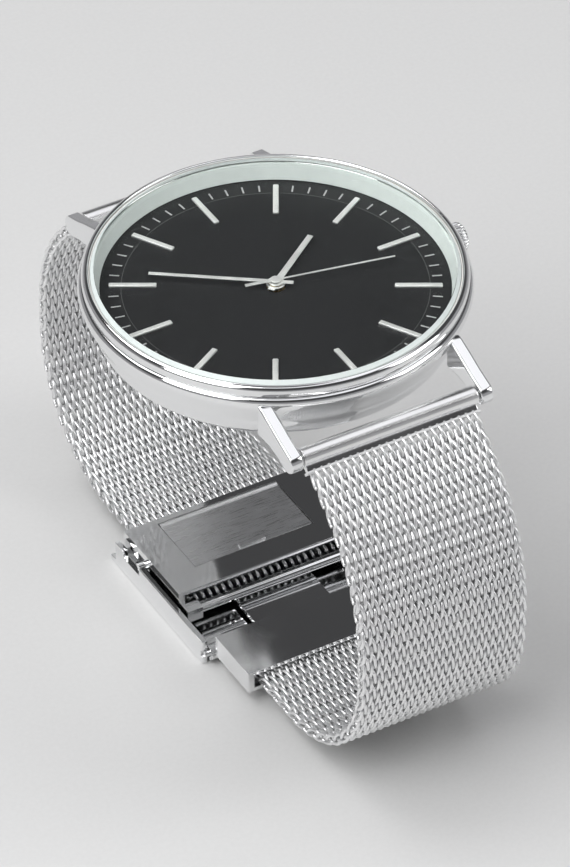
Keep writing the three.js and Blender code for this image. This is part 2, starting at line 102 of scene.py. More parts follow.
def start_material(name, base, roughness, metallic=0.0, **sockets):
    """A Principled material with its uniform values set on the sockets, and its object coordinates."""
    material = bpy.data.materials.new(name)
    material.use_nodes = True
    tree = material.node_tree
    shader = tree.nodes["Principled BSDF"]
    shader.inputs["Base Color"].default_value = (*base, 1)
    shader.inputs["Roughness"].default_value = roughness
    shader.inputs["Metallic"].default_value = metallic
    for socket, value in sockets.items():
        shader.inputs[socket.replace("_", " ")].default_value = value
    coords = tree.nodes.new("ShaderNodeTexCoord")
    return material, tree, shader, coords.outputs["Object"]


def stretched(tree, coords, scale):
    """The coordinates scaled along each axis. A pattern runs along the axis with the small scale."""
    mapping = node(tree, "ShaderNodeMapping", Scale=scale)
    link(tree, coords, mapping.inputs["Vector"])
    return mapping.outputs["Vector"]


def noise(tree, coords, scale, detail):
    """A noise pattern's values. A scale of 1000 makes patches of about a millimetre."""
    made = node(tree, "ShaderNodeTexNoise", Scale=scale, Detail=detail)
    link(tree, coords, made.inputs["Vector"])
    return made.outputs["Fac"]


def spread(tree, factor, low, high, start=0.3, end=0.7):
    """A pattern's values from start to end, mapped to low to high."""
    ramp = node(tree, "ShaderNodeMapRange")
    for index, value in enumerate((start, end, low, high), start=1):
        ramp.inputs[index].default_value = value
    link(tree, factor, ramp.inputs[0])
    return ramp.outputs[0]


def colour_spread(tree, factor, dark, light, start=0.3, end=0.7):
    """A pattern's values from start to end, mapped to dark to light."""
    ramp = tree.nodes.new("ShaderNodeValToRGB")
    ramp.color_ramp.elements[0].position = start
    ramp.color_ramp.elements[1].position = end
    ramp.color_ramp.elements[0].color = (*dark, 1)
    ramp.color_ramp.elements[1].color = (*light, 1)
    link(tree, factor, ramp.inputs[0])
    return ramp.outputs[0]


def bump(tree, shader, height, strength, distance):
    """A fine relief from a pattern, the distance in metres."""
    made = node(tree, "ShaderNodeBump", Strength=strength, Distance=distance)
    link(tree, height, made.inputs["Height"])
    link(tree, made.outputs["Normal"], shader.inputs["Normal"])


def polished_steel(name, low=0.05, high=0.12, base=(0.86, 0.865, 0.87)):
    """Bright steel with faint smears, its roughness from low to high."""
    material, tree, shader, coords = start_material(name, base, low, metallic=1.0)
    smears = noise(tree, coords, 180, 6)
    link(tree, spread(tree, smears, low, high), shader.inputs["Roughness"])
    bump(tree, shader, noise(tree, coords, 900, 2), 0.03, 0.00002)
    return material


def brushed_steel(name, lines, low=0.24, high=0.38, base=(0.78, 0.785, 0.79)):
    """Satin steel whose fine lines run along the axis with the small value in lines."""
    material, tree, shader, coords = start_material(name, base, low, metallic=1.0)
    grain = noise(tree, stretched(tree, coords, lines), 1.0, 3)
    link(tree, spread(tree, grain, low, high), shader.inputs["Roughness"])
    bump(tree, shader, grain, 0.08, 0.00001)
    return material


def turned_steel(name):
    """Satin steel with fine rings round the Z axis, as a lathe leaves."""
    material, tree, shader, coords = start_material(name, (0.76, 0.765, 0.77), 0.28, metallic=1.0)
    rings = node(tree, "ShaderNodeTexWave", Scale=1500.0, Distortion=1.5, Detail=2.0)
    rings.wave_type = "RINGS"
    rings.rings_direction = "Z"
    link(tree, coords, rings.inputs["Vector"])
    link(tree, spread(tree, rings.outputs["Fac"], 0.22, 0.34, 0, 1), shader.inputs["Roughness"])
    bump(tree, shader, rings.outputs["Fac"], 0.15, 0.00002)
    return material


def wire_steel(name):
    """Drawn wire, a little brighter in some places than in others."""
    material, tree, shader, coords = start_material(name, grey(0.9), 0.36, metallic=1.0)
    patches = noise(tree, coords, 700, 3)
    tone = colour_spread(tree, patches, (0.86, 0.865, 0.87), grey(0.93))
    link(tree, tone, shader.inputs["Base Color"])
    link(tree, spread(tree, patches, 0.3, 0.42), shader.inputs["Roughness"])
    return material


def painted(name, dark, light, roughness, grain_scale, strength=0.05, **sockets):
    """Paint, plastic or rubber with a fine grain in tone, gloss and surface."""
    material, tree, shader, coords = start_material(name, light, roughness, **sockets)
    grain = noise(tree, coords, grain_scale, 5)
    link(tree, colour_spread(tree, grain, dark, light), shader.inputs["Base Color"])
    link(tree, spread(tree, grain, roughness * 0.85, roughness * 1.15), shader.inputs["Roughness"])
    bump(tree, shader, grain, strength, 0.00003)
    return material


def brass_plate(name):
    """Brass with a slightly uneven tone."""
    dark, light = (0.62, 0.46, 0.2), (0.78, 0.6, 0.29)
    material, tree, shader, coords = start_material(name, light, 0.28, metallic=1.0)
    patches = noise(tree, coords, 500, 5)
    link(tree, colour_spread(tree, patches, dark, light), shader.inputs["Base Color"])
    link(tree, spread(tree, patches, 0.22, 0.36), shader.inputs["Roughness"])
    return material


def wound_copper(name):
    """Fine copper wire wound side by side, its turns following each other along X, with painted shade in the
    grooves between the turns.
    """
    material, tree, shader, coords = start_material(name, (0.6, 0.26, 0.12), 0.3, metallic=1.0)
    turns = node(tree, "ShaderNodeTexWave", Scale=2200.0, Distortion=0.2)
    turns.bands_direction = "X"
    link(tree, coords, turns.inputs["Vector"])
    # the colour runs dark where the bump sinks between the turns: painted shade in the grooves
    tone = colour_spread(tree, turns.outputs["Fac"], (0.28, 0.1, 0.04), (0.75, 0.36, 0.17), 0, 0.8)
    link(tree, tone, shader.inputs["Base Color"])
    bump(tree, shader, turns.outputs["Fac"], 0.6, 0.00005)
    return material


def clear_glass(name):
    """Clear glass, wiped but not perfectly."""
    material, tree, shader, coords = start_material(
        name, (0.985, 1.0, 0.99), 0.0, Transmission_Weight=1.0, IOR=1.5
    )
    wiped = noise(tree, coords, 120, 5)
    link(tree, spread(tree, wiped, 0.0, 0.012), shader.inputs["Roughness"])
    return material


class Finish:
    """A material, and the record's slot that it belongs to."""

    def __init__(self, slot, material):
        self.slot = slot
        self.material = material


STEEL = Finish("polished_steel", polished_steel("polished_steel"))
TUBE = Finish("polished_steel", polished_steel("tube_steel", 0.2, 0.28, (0.9, 0.9, 0.9)))
SATIN = Finish("satin_steel", brushed_steel("satin_steel", (400, 16000, 16000)))
TURNED = Finish("satin_steel", turned_steel("turned_steel"))
WIRE = Finish("mesh_steel", wire_steel("woven_wire_steel"))
BRASS = Finish("brass", brass_plate("brass"))
COPPER = Finish("copper_coil", wound_copper("copper_winding_painted_groove_shade"))
SILVER = Finish("silvered", brushed_steel(
    "silvered_hands", (900, 900, 900), 0.44, 0.56, (0.95, 0.95, 0.93)
))
DIAL_BLACK = Finish("dial_black", painted(
    "dial_black", (0.007, 0.0073, 0.008), (0.011, 0.0114, 0.0125), 0.42, 1800, 0.06, Specular_IOR_Level=0.3
))
PRINT = Finish("dial_black", painted("dial_print", grey(0.36), grey(0.46), 0.5, 3000, 0.02))
FINE_PRINT = Finish("dial_black", painted("dial_line", grey(0.06), grey(0.1), 0.5, 3000, 0.02))
FLANGE = Finish("flange_paint", painted(
    "flange_paint", (0.6, 0.65, 0.63), (0.64, 0.69, 0.67), 0.35, 900, 0.01
))
GLASS = Finish("mineral_glass", clear_glass("mineral_glass"))
# pale green on an opaque surface: a painted highlight standing in for the light seen in the glass's edge
GLASS_EDGE_HIGHLIGHT = Finish("mineral_glass", painted(
    "glass_edge_painted_highlight", (0.74, 0.81, 0.79), (0.8, 0.86, 0.84), 0.4, 1500, 0.02
))
NYLON = Finish("nylon", painted("nylon", (0.7, 0.69, 0.66), (0.82, 0.81, 0.78), 0.5, 700))
RUBBER = Finish("black_rubber", painted("black_rubber", grey(0.008), grey(0.025), 0.7, 1200, 0.2))
BOARD = Finish("circuit_green", painted(
    "circuit_green", (0.01, 0.07, 0.035), (0.02, 0.14, 0.07), 0.35, 600, 0.05, Coat_Weight=0.4
))


# ---- meshes ----
def in_scene(name, data):
    """A new object with that data, linked to the scene."""
    made = bpy.data.objects.new(name, data)
    bpy.context.scene.collection.objects.link(made)
    return made


def piece(name, vertices, faces, finish, body, replaces):
    """A mesh piece from vertices in millimetres in the row frame, riding on a body."""
    mesh = bpy.data.meshes.new(name)
    mesh.from_pydata([tuple(v) for v in np.asarray(vertices, float) * MM], [], faces)
    return finished(name, mesh, finish, body, replaces)


def finished(name, mesh, finish, body, replaces, weighted=False):
    """The mesh as a shaded piece riding on a body. Weighted normals keep the flats beside soft edges flat."""
    tidy = bmesh.new()
    tidy.from_mesh(mesh)
    bmesh.ops.recalc_face_normals(tidy, faces=tidy.faces)
    tidy.to_mesh(mesh)
    tidy.free()
    mesh.shade_smooth()
    mesh.set_sharp_from_angle(angle=SMOOTH_BELOW)
    mesh.materials.append(finish.material)
    made = in_scene(name, mesh)
    if weighted:
        made.modifiers.new("flat_faces", "WEIGHTED_NORMAL").keep_sharp = True
    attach(made, body)
    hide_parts(*replaces)
    return made


MOST_OF_SIDE = 0.42
JUST_OUTSIDE = 1.12
CORE = 0.02  # a turned solid's outline stops this near its axis, and a flat cap closes it
BAR_CORE = 0.01  # the same for a bar along X


def filleted(points, radius, steps=4):
    """A closed outline with each corner rounded by up to the radius.

    A corner takes at most the share MOST_OF_SIDE of the sides that meet there. A point just outside the
    rounding, on either side of it, keeps the flat beyond it flat when it is shaded.
    """
    points = [Vector(p) for p in points]
    rounded = []
    for i, corner in enumerate(points):
        before = points[i - 1] - corner
        after = points[(i + 1) % len(points)] - corner
        reach = min(radius, before.length * MOST_OF_SIDE, after.length * MOST_OF_SIDE)
        start = corner + before.normalized() * reach
        end = corner + after.normalized() * reach
        rounded.append(corner + before.normalized() * reach * JUST_OUTSIDE)
        for step in range(steps + 1):
            t = step / steps
            rounded.append(start * (1 - t) ** 2 + corner * (2 * t * (1 - t)) + end * t**2)
        rounded.append(corner + after.normalized() * reach * JUST_OUTSIDE)
    return rounded


def revolved(profile_at, steps, closed, place):
    """Vertices and faces of a profile turned about an axis.

    profile_at(angle) gives its (radius, along) points, and place(radius, along, angle) a point in the row
    frame. A closed profile makes a ring. An open one makes a solid, with a flat cap at each end.
    """
    vertices, faces = [], []
    for i in range(steps):
        angle = 2 * math.pi * i / steps
        vertices += [place(radius, along, angle) for radius, along in profile_at(angle)]
    count = len(vertices) // steps
    for i in range(steps):
        a, b = i * count, ((i + 1) % steps) * count
        sides_here = count if closed else count - 1
        faces += [(a + j, b + j, b + (j + 1) % count, a + (j + 1) % count) for j in range(sides_here)]
    if not closed:
        faces.append([i * count for i in range(steps)])
        faces.append([i * count + count - 1 for i in range(steps)])
    return vertices, faces


def about_dial_axis(radius, h, angle):
    """A point at that radius, height and angle round the dial's axis."""
    return radius * math.cos(angle), radius * math.sin(angle), h + CASE_LIFT


def turned(name, profile, fillet, finish, body, replaces, steps=AROUND):
    """A ring turned about the dial's axis from (radius, h) points."""
    outline = filleted(profile, fillet)
    vertices, faces = revolved(lambda angle: outline, steps, True, about_dial_axis)
    return piece(name, vertices, faces, finish, body, replaces)


def solid_turned(name, profile, fillet, finish, body, replaces, steps=AROUND):
    """A solid turned about the dial's axis from the (radius, h) points of its outer side, bottom to top."""
    axis_low, axis_high = (0.0, profile[0][1]), (0.0, profile[-1][1])
    side = [p for p in filleted([axis_low, *profile, axis_high], fillet) if p.x > CORE]
    vertices, faces = revolved(lambda angle: side, steps, False, about_dial_axis)
    return piece(name, vertices, faces, finish, body, replaces)


def bevelled_mesh(name, vertices, faces, width, segments=2, matrix=None):
    """A mesh from millimetre vertices, with its sharp edges rounded and then turned by the matrix."""
    work = bmesh.new()
    corners = [work.verts.new(tuple(v)) for v in vertices]
    for face in faces:
        work.faces.new([corners[i] for i in face])
    bmesh.ops.recalc_face_normals(work, faces=work.faces)
    return round_edges(name, work, width, segments, matrix)


def round_edges(name, work, width, segments=2, matrix=None):
    """The bmesh's sharp edges rounded over the width, written to a mesh in metres."""
    sharp = [e for e in work.edges if e.is_manifold and e.calc_face_angle(0) > ROUNDED_ABOVE]
    bmesh.ops.bevel(
        work, geom=sharp, offset=width, segments=segments, profile=0.5, affect="EDGES", clamp_overlap=True
    )
    if matrix is not None:
        work.transform(matrix)
    work.transform(Matrix.Scale(MM, 4))
    mesh = bpy.data.meshes.new(name)
    work.to_mesh(mesh)
    work.free()
    return mesh


def prism(outline, low, high):
    """Vertices and faces of an (x, y) outline extruded from z low to z high."""
    count = len(outline)
    vertices = [(*p[:2], low) for p in outline] + [(*p[:2], high) for p in outline]
    faces = [list(range(count))[::-1], list(range(count, 2 * count))]
    faces += [(i, (i + 1) % count, count + (i + 1) % count, count + i) for i in range(count)]
    return vertices, faces


def bar_x(name, profile, y, z, fillet, finish, body, replaces, steps):
    """A round bar along X from (x, radius) points, about the line (y, z)."""
    ends = [(profile[0][0], 0.0), *profile, (profile[-1][0], 0.0)]
    side = [(p.y, p.x) for p in filleted(ends, fillet, 3) if p.y > BAR_CORE]

    def place(radius, x, angle):
        return x, y + radius * math.cos(angle), z + radius * math.sin(angle)

    vertices, faces = revolved(lambda angle: side, steps, False, place)
    return piece(name, vertices, faces, finish, body, replaces)


def rounded_copy(cad_node, finish, body, width):
    """The CAD node's own shape with merged corners and small rounded edges."""
    name = cad_node + "_finish"
    work = bmesh.new()
    work.from_mesh(frame["nodes"][cad_node].data)
    work.transform(Matrix.Scale(1 / MM, 4))
    bmesh.ops.remove_doubles(work, verts=work.verts, dist=MERGED)
    bmesh.ops.dissolve_limit(work, angle_limit=FLAT_BELOW, verts=work.verts, edges=work.edges, delimit=set())
    mesh = round_edges(name, work, width)
    return finished(name, mesh, finish, body, (cad_node,), True)


# ---- case ----
LUG = {"width": 1.4, "tip_u": 22, "tip_h": 2.3, "tip_radius": 1.15, "edge": 0.22}


def lug(clock, hand_side, low):
    """A lug with soft edges. Its side outline is in (u, h), u outwards from the dial's middle, from x low."""
    outline = [(16.3, 1.9), (18.6, 2.05), (20.2, 1.75)]
    for degrees in range(-115, 66, 15):
        angle = math.radians(degrees)
        u = LUG["tip_u"] + LUG["tip_radius"] * math.cos(angle)
        outline.append((u, LUG["tip_h"] + LUG["tip_radius"] * math.sin(angle)))
    outline += [(20.6, 3.95), (18.9, 4.65), (17, 5.35), (16.3, 5.5)]
    vertices, faces = prism(outline, low, low + LUG["width"])
    placed = [(x, SIDES[clock] * u, h + CASE_LIFT) for u, h, x in vertices]
    name = f"lug_{clock}_{hand_side}"
    mesh = bevelled_mesh(name, placed, faces, LUG["edge"], 3)
    return finished(name, mesh, STEEL, "case", ("case_middle",), True)


case_profile = [
    (16.2, 1.35), (17, 1.35), (17, 0.3), (17.5, 0.3), (18.1, 0.9), (18.55, 1.9), (18.75, 2.7), (19.3, 3.8),
    (19.7, 4.8), (19.85, 5.4), (19.75, 5.8), (19.45, 6.1), (18.45, 6.1), (18.45, 3.9), (16.2, 3.9),
]
turned("case_ring", case_profile, 0.5, STEEL, "case", ("case_middle",))
for lug_clock in SIDES:
    lug(lug_clock, "left", -11.5)
    lug(lug_clock, "right", 10.1)

bezel_profile = [
    (18.75, 6.14), (19.4, 6.14), (19.44, 6.6), (19.36, 6.95), (19.15, 7.2), (18.9, 7.3), (18.75, 7.2),
]
turned("bezel_ring", bezel_profile, 0.1, STEEL, "case", ("bezel",))
crystal_profile = [(18.5, 6.25), (18.5, 7.05), (18.15, 7.4)]
crystal = solid_turned("crystal_glass", crystal_profile, 0.05, GLASS, "case", ("crystal",))
crystal.visible_shadow = False
# a thin opaque shell over the glass's bevel, painted pale green: a painted highlight for the light seen in the
# glass's edge through the rim
edge_profile = [(18.38, 6.27), (18.51, 6.27), (18.51, 7.06), (18.15, 7.41), (18.13, 7.32), (18.38, 7.0)]
turned("crystal_edge_painted_highlight", edge_profile, 0.02, GLASS_EDGE_HIGHLIGHT, "case", ("crystal",))
gasket_profile = [(18.55, 6.25), (18.7, 6.25), (18.7, 7.0), (18.55, 7.0)]
turned("crystal_seal", gasket_profile, 0.03, NYLON, "case", ("crystal_gasket",))
flange_profile = [(17.6, 4.42), (18.38, 4.42), (18.38, 6.12), (18.15, 6.12)]
turned("flange_ring", flange_profile, 0.04, FLANGE, "case", ("dial_flange_ring",))


def case_back():
    """A snap-on back: a flat face, a sloping edge and six opener slots in the edge."""
    face = [(0.3, 0), (15.2, 0)]
    wall = [(16.9, 0.95), (16.05, 0.95), (16.05, 1.9), (15.3, 1.9), (15.3, 0.8), (0.3, 0.8)]
    plain = filleted([*face, (16.5, 0.3), (16.9, 0.5), *wall], 0.08, 2)
    slotted = filleted([*face, (15.9, 0.16), (15.9, 0.5), *wall], 0.08, 2)
    slot_pitch = math.radians(60)
    half_slot = math.asin(1.2 / 16.4)

    def profile_at(angle):
        offset = (angle - slot_pitch / 2) % slot_pitch
        return slotted if min(offset, slot_pitch - offset) < half_slot else plain

    vertices, faces = revolved(profile_at, 360, True, about_dial_axis)
    piece("case_back_cover", vertices, faces, TURNED, "case", ("case_back",))
    centre = [(0.34, 0.0), (0.34, 0.8)]
    solid_turned("case_back_centre", centre, 0.01, TURNED, "case", ("case_back",))


case_back()

# ---- dial: black plate, printed track and applied batons ----
DIAL_TOP = 4.35
SUNK = DIAL_TOP - 0.05  # the foot of what stands on the dial
PRINT_TOP = DIAL_TOP + 0.012
BATON_TOP = DIAL_TOP + 0.22
dial_profile = [(1, 3.95), (18, 3.95), (18, DIAL_TOP), (1, DIAL_TOP)]
turned("dial_plate", dial_profile, 0.04, DIAL_BLACK, "case", ("dial",))


def clockwise(degrees):
    return Matrix.Rotation(math.radians(-degrees), 4, "Z")


def radial_bar(inner, outer, half_width, top, degrees):
    """Corners and faces of a bar on the dial pointing outwards, degrees clockwise from 12."""
    outline = [(-half_width, inner), (half_width, inner), (half_width, outer), (-half_width, outer)]
    vertices, faces = prism(outline, SUNK + CASE_LIFT, top + CASE_LIFT)
    return [clockwise(degrees) @ Vector(v) for v in vertices], faces


def minute_track():
    """The printed minute marks, as one piece, and the fine line round their inner ends."""
    vertices, faces = [], []
    for minute in range(60):
        if minute % 5:
            tick_corners, tick_faces = radial_bar(15.75, 16.75, 0.085, PRINT_TOP, 6 * minute)
            faces += [[i + len(vertices) for i in face] for face in tick_faces]
            vertices += tick_corners
    piece("minute_track", vertices, faces, PRINT, "case", ("dial",))
    line_profile = [(15.42, SUNK), (15.48, SUNK), (15.48, PRINT_TOP), (15.42, PRINT_TOP)]
    turned("track_line", line_profile, 0.002, FINE_PRINT, "case", ("dial",))


def baton(hour):
    """An applied hour baton with soft edges."""
    name = f"baton_{hour or 12}"
    corners, faces = radial_bar(11.9, 16.7, 0.3, BATON_TOP, 30 * hour)
    mesh = bevelled_mesh(name, corners, faces, 0.11)
    finished(name, mesh, SILVER, "case", ("dial",), True)


minute_track()
for dial_hour in range(12):
    baton(dial_hour)


# ---- hands ----
def hand(name, body, outline, hub, low, high, degrees, hole=0.0):
    """A bevelled blade and its round hub, from h low to high, turned clockwise from 12 by the degrees.

    hub is the hub's radius. A hole makes it a ring, for the hands above to pass through.
    """
    vertices, faces = prism(outline, low + CASE_LIFT, high + CASE_LIFT)
    edge = (high - low) * 0.35
    mesh = bevelled_mesh(name + "_blade", vertices, faces, edge, matrix=clockwise(degrees))
    finished(name + "_blade", mesh, SILVER, body, (name,), True)
    if hole:
        rim = [(hole, low), (hub, low), (hub, high + 0.02), (hole, high + 0.02)]
        turned(name + "_hub", rim, 0.04, SILVER, body, (name,), 64)
    else:
        boss = [(hub, low), (hub, high + 0.04)]
        solid_turned(name + "_hub", boss, 0.08, SILVER, body, (name,), 64)


def taper(tail, tip, tail_half, tip_half):
    """A straight-sided hand from tail to tip, with its half width at each."""
    return [(-tail_half, -tail), (tail_half, -tail), (tip_half, tip), (-tip_half, tip)]


needle = [(0.2, -3.2), (0.2, -0.4), (0.1, 0.4), (0.1, 12.6)]
needle += [(-x, y) for x, y in reversed(needle)]
hand("hour_hand", "hour_work", taper(1.2, 8.6, 0.36, 0.3), 0.95, 4.64, 4.76, 54, 0.72)
hand("minute_hand", "minute_work", taper(1.8, 12.8, 0.25, 0.2), 0.75, 4.87, 4.98, 306, 0.46)
hand("seconds_hand", "seconds_work", needle, 0.55, 5.1, 5.2, 102)


# ---- crown ----
FLUTES = 26
FLUTE_DEPTH = 0.13
FLUTE_STEPS = 12  # facets round each flute
PROFILE_STEPS = 4  # parts of each stretch of the crown's outline


def crown():
    """A fluted crown: rounded ridges that fade out at both ends, a shallow domed end and a recess behind."""
    low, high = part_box("crown")
    inner, outer = low.x / MM, high.x / MM
    rim = (high.z - low.z) / 2 / MM
    stem_z = (high.z + low.z) / 2 / MM
    # (x, radius, share of the flutes' depth): the recess behind, then the outside from back to front
    bore_end = inner + 0.8
    profile = [(bore_end, CORE, 0), (bore_end, 1.0, 0), (inner + 0.75, 1.13, 0), (inner + 0.05, 1.13, 0)]
    outside = [
        (inner, 1.15, 0), (inner, rim - 0.22, 0), (inner + 0.06, rim - 0.1, 0.2), (inner + 0.2, rim, 1),
        (outer - 0.52, rim, 1), (outer - 0.3, rim - 0.08, 0.35), (outer - 0.15, rim - 0.24, 0),
        (outer - 0.06, rim - 0.5, 0), (outer - 0.02, rim - 0.9, 0), (outer, CORE, 0),
    ]
    for start, end in zip(outside, outside[1:]):
        for step in range(PROFILE_STEPS):
            profile.append(tuple(a + (b - a) * step / PROFILE_STEPS for a, b in zip(start, end)))
    profile.append(outside[-1])

    def profile_at(angle):
        groove = FLUTE_DEPTH * (0.5 - 0.5 * math.cos(FLUTES * angle)) ** 2
        return [(radius - groove * share, x) for x, radius, share in profile]

    def place(radius, x, angle):
        return x, radius * math.cos(angle), stem_z + radius * math.sin(angle)

    vertices, faces = revolved(profile_at, FLUTES * FLUTE_STEPS, False, place)
    piece("crown_knob", vertices, faces, STEEL, "crown_and_stem", ("crown",))


crown()


# ---- band ----
MESH_DROP = 0.35  # the mesh's middle runs this far inside the first bending point
BEND_REACH = [0, 4.3, 4.3, 3.75, 3.75, 3.75, 0]  # from each bending point to its arc's ends
BAND_STEP = 0.01  # the middle line is worked out in steps of this length


def band_line(clock):
    """The mesh's middle line from the first bending point.

    It gives the distance s along the line, u and z at each step, the slope below level, the steps where
    each bend starts and ends, and the whole length.
    """
    side = SIDES[clock]
    joints = {j["name"]: j for j in frame["joints"]}
    bends = [joints[f"band_{clock}_bend_{k}"] for k in range(1, 7)]
    slopes = np.cumsum([math.radians(j["range_deg"][1]) for j in bends])
    corners = [np.array([side * j["pos_m"][1], j["pos_m"][2]]) / MM for j in bends]
    corners[0] = corners[0] - MESH_DROP * np.array([math.sin(slopes[0]), math.cos(slopes[0])])
    lengths = [float(np.linalg.norm(b - a)) for a, b in zip(corners, corners[1:])]
    last_low, last_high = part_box(f"band_{clock}_section_6")
    end_u = side * (last_high.y if side < 0 else last_low.y) / MM
    lengths.append(abs(corners[-1][0] - end_u))
    slope_at, marks = [], []
    for i, length in enumerate(lengths):
        straight = length - BEND_REACH[i] - BEND_REACH[i + 1]
        slope_at += [slopes[i]] * max(0, round(straight / BAND_STEP))
        if i < len(bends) - 1:
            bend = slopes[i + 1] - slopes[i]
            arc = BEND_REACH[i + 1] / math.tan(bend / 2) * bend
            count = round(arc / BAND_STEP)
            marks.append((len(slope_at), len(slope_at) + count))
            slope_at += list(slopes[i] + bend * (np.arange(count) + 0.5) / count)
    slope_at = np.array(slope_at)
    u = corners[0][0] + np.concatenate([[0], np.cumsum(np.cos(slope_at) * BAND_STEP)])
    z = corners[0][1] - np.concatenate([[0], np.cumsum(np.sin(slope_at) * BAND_STEP)])
    slope_at = np.append(slope_at, slope_at[-1])
    s = np.arange(len(slope_at)) * BAND_STEP
    return {"s": s, "u": u, "z": z, "slope": slope_at, "marks": marks, "side": side, "length": s[-1]}


def on_band(line, x, s, off):
    """Points in the row frame, in millimetres, at x, distance s and height off the band's middle line."""
    u = np.interp(s, line["s"], line["u"])
    z = np.interp(s, line["s"], line["z"])
    slope = np.interp(s, line["s"], line["slope"])
    return np.stack([x, line["side"] * (u + off * np.sin(slope)), z + off * np.cos(slope)], -1)


def across_band(line, outline, half_width):
    """Corners and faces of a bar across the band, from an outline of (s, off) points."""
    count = len(outline)
    flat = np.array([tuple(p) for p in outline])
    ends = [on_band(line, np.full(count, x), flat[:, 0], flat[:, 1]) for x in (-half_width, half_width)]
    faces = [list(range(count)), list(range(count, 2 * count))[::-1]]
    faces += [(i, (i + 1) % count, count + (i + 1) % count, count + i) for i in range(count)]
    return np.concatenate(ends), faces


# the weave: flattened wire spirals across the band, by turns left- and right-handed
WEAVE = {
    "first": 2.35,  # from the first bending point to the first spiral's middle
    "row": 1.0,  # from one spiral to the next
    "pitch": 0.82,  # from one turn of a spiral to the next
    "turns": 23,
    "reach": 0.96,  # half a spiral's length along the band, to the wire's middle
    "rise": 0.46,  # half its height, to the wire's middle
    "wire": 0.185,  # the wire's radius
}
TURN_STEPS = 14  # straight pieces to a turn
WIRE_STEPS = 7  # facets round the wire
LAST_ROW = 0.9  # the last spiral's middle is at least this far from the mesh's end


def spiral(line, centre, handed):
    """Vertices, side faces and end faces of one flattened wire spiral across the band.

    centre is its distance along the band. handed is 1 for a right-handed spiral, -1 for a left-handed one.
    """
    steps = WEAVE["turns"] * TURN_STEPS
    phi = np.linspace(0, 2 * math.pi * WEAVE["turns"], steps + 1)
    if handed < 0:
        phi = -phi[::-1]
    across = handed * WEAVE["pitch"] * phi / (2 * math.pi)
    half_width = WEAVE["pitch"] * WEAVE["turns"] / 2
    along_band = centre + WEAVE["reach"] * np.cos(phi)
    path = np.stack([across - half_width, along_band, WEAVE["rise"] * np.sin(phi)], -1)
    along = np.gradient(path, axis=0)
    along /= np.linalg.norm(along, axis=1)[:, None]
    none = np.zeros_like(phi)
    outward = np.stack([none, np.cos(phi) / WEAVE["reach"], np.sin(phi) / WEAVE["rise"]], -1)
    outward -= (outward * along).sum(1)[:, None] * along
    outward /= np.linalg.norm(outward, axis=1)[:, None]
    sideways = np.cross(along, outward)
    turn = 2 * math.pi * np.arange(WIRE_STEPS) / WIRE_STEPS
    ring = np.cos(turn)[None, :, None] * outward[:, None] + np.sin(turn)[None, :, None] * sideways[:, None]
    points = (path[:, None] + WEAVE["wire"] * ring).reshape(-1, 3)
    vertices = on_band(line, points[:, 0], points[:, 1], points[:, 2])
    here = np.arange(steps)[:, None] * WIRE_STEPS
    beyond = here + WIRE_STEPS
    corner = np.arange(WIRE_STEPS)[None, :]
    after = (corner + 1) % WIRE_STEPS
    quads = np.stack([here + corner, here + after, beyond + after, beyond + corner], -1).reshape(-1, 4)
    caps = [list(range(WIRE_STEPS))[::-1], [steps * WIRE_STEPS + n for n in range(WIRE_STEPS)]]
    return vertices, quads, caps


def woven_piece(name, line, rows):
    """The given rows of spirals as one mesh in the row frame."""
    vertices, quads, caps, offset = [], [], [], 0
    for row in rows:
        centre = WEAVE["first"] + row * WEAVE["row"]
        points, faces, ends = spiral(line, centre, 1 if row % 2 else -1)
        vertices.append(points)
        quads.append(faces + offset)
        caps += [[i + offset for i in end] for end in ends]
        offset += len(points)
    points = np.concatenate(vertices) * MM
    faces = [tuple(q) for q in np.concatenate(quads).tolist()] + caps
    mesh = bpy.data.meshes.new(name)
    mesh.vertices.add(len(points))
    mesh.vertices.foreach_set("co", points.astype(np.float32).ravel())
    sizes = np.array([len(f) for f in faces])
    mesh.loops.add(int(sizes.sum()))
    mesh.loops.foreach_set("vertex_index", np.concatenate([np.array(f) for f in faces]).astype(np.int32))
    mesh.polygons.add(len(faces))
    mesh.polygons.foreach_set("loop_start", (np.cumsum(sizes) - sizes).astype(np.int32))
    mesh.update(calc_edges=True)
    mesh.validate()
    mesh.shade_smooth()
    mesh.materials.append(WIRE.material)
    made = in_scene(name, mesh)
    return made


def woven_half(clock, line):
    """One woven piece across each bend of the mesh, cut half-way between the bends."""
    bends = line["marks"]
    rows = int((line["length"] - WEAVE["first"] - LAST_ROW) / WEAVE["row"]) + 1
    cuts = [0.0]
    for (_, arc_end), (next_start, _) in zip(bends, bends[1:]):
        cuts.append((arc_end + next_start) / 2 * BAND_STEP)
    cuts.append(math.inf)
    for k, (bend_start, bend_end) in enumerate(bends):
        chosen = [r for r in range(rows) if cuts[k] <= WEAVE["first"] + r * WEAVE["row"] < cuts[k + 1]]
        woven = woven_piece(f"woven_mesh_{clock}_{k + 1}", line, chosen)
        distances = np.array([bend_start, bend_end]) * BAND_STEP
        start, end = on_band(line, np.zeros(2), distances, np.zeros(2)) * MM
        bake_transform(woven)
        stands_for = [f"band_{clock}_section_{k + 1}"]
        if k == len(bends) - 1:
            stands_for.append(f"band_{clock}_section_{k + 2}")
        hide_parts(*stands_for)


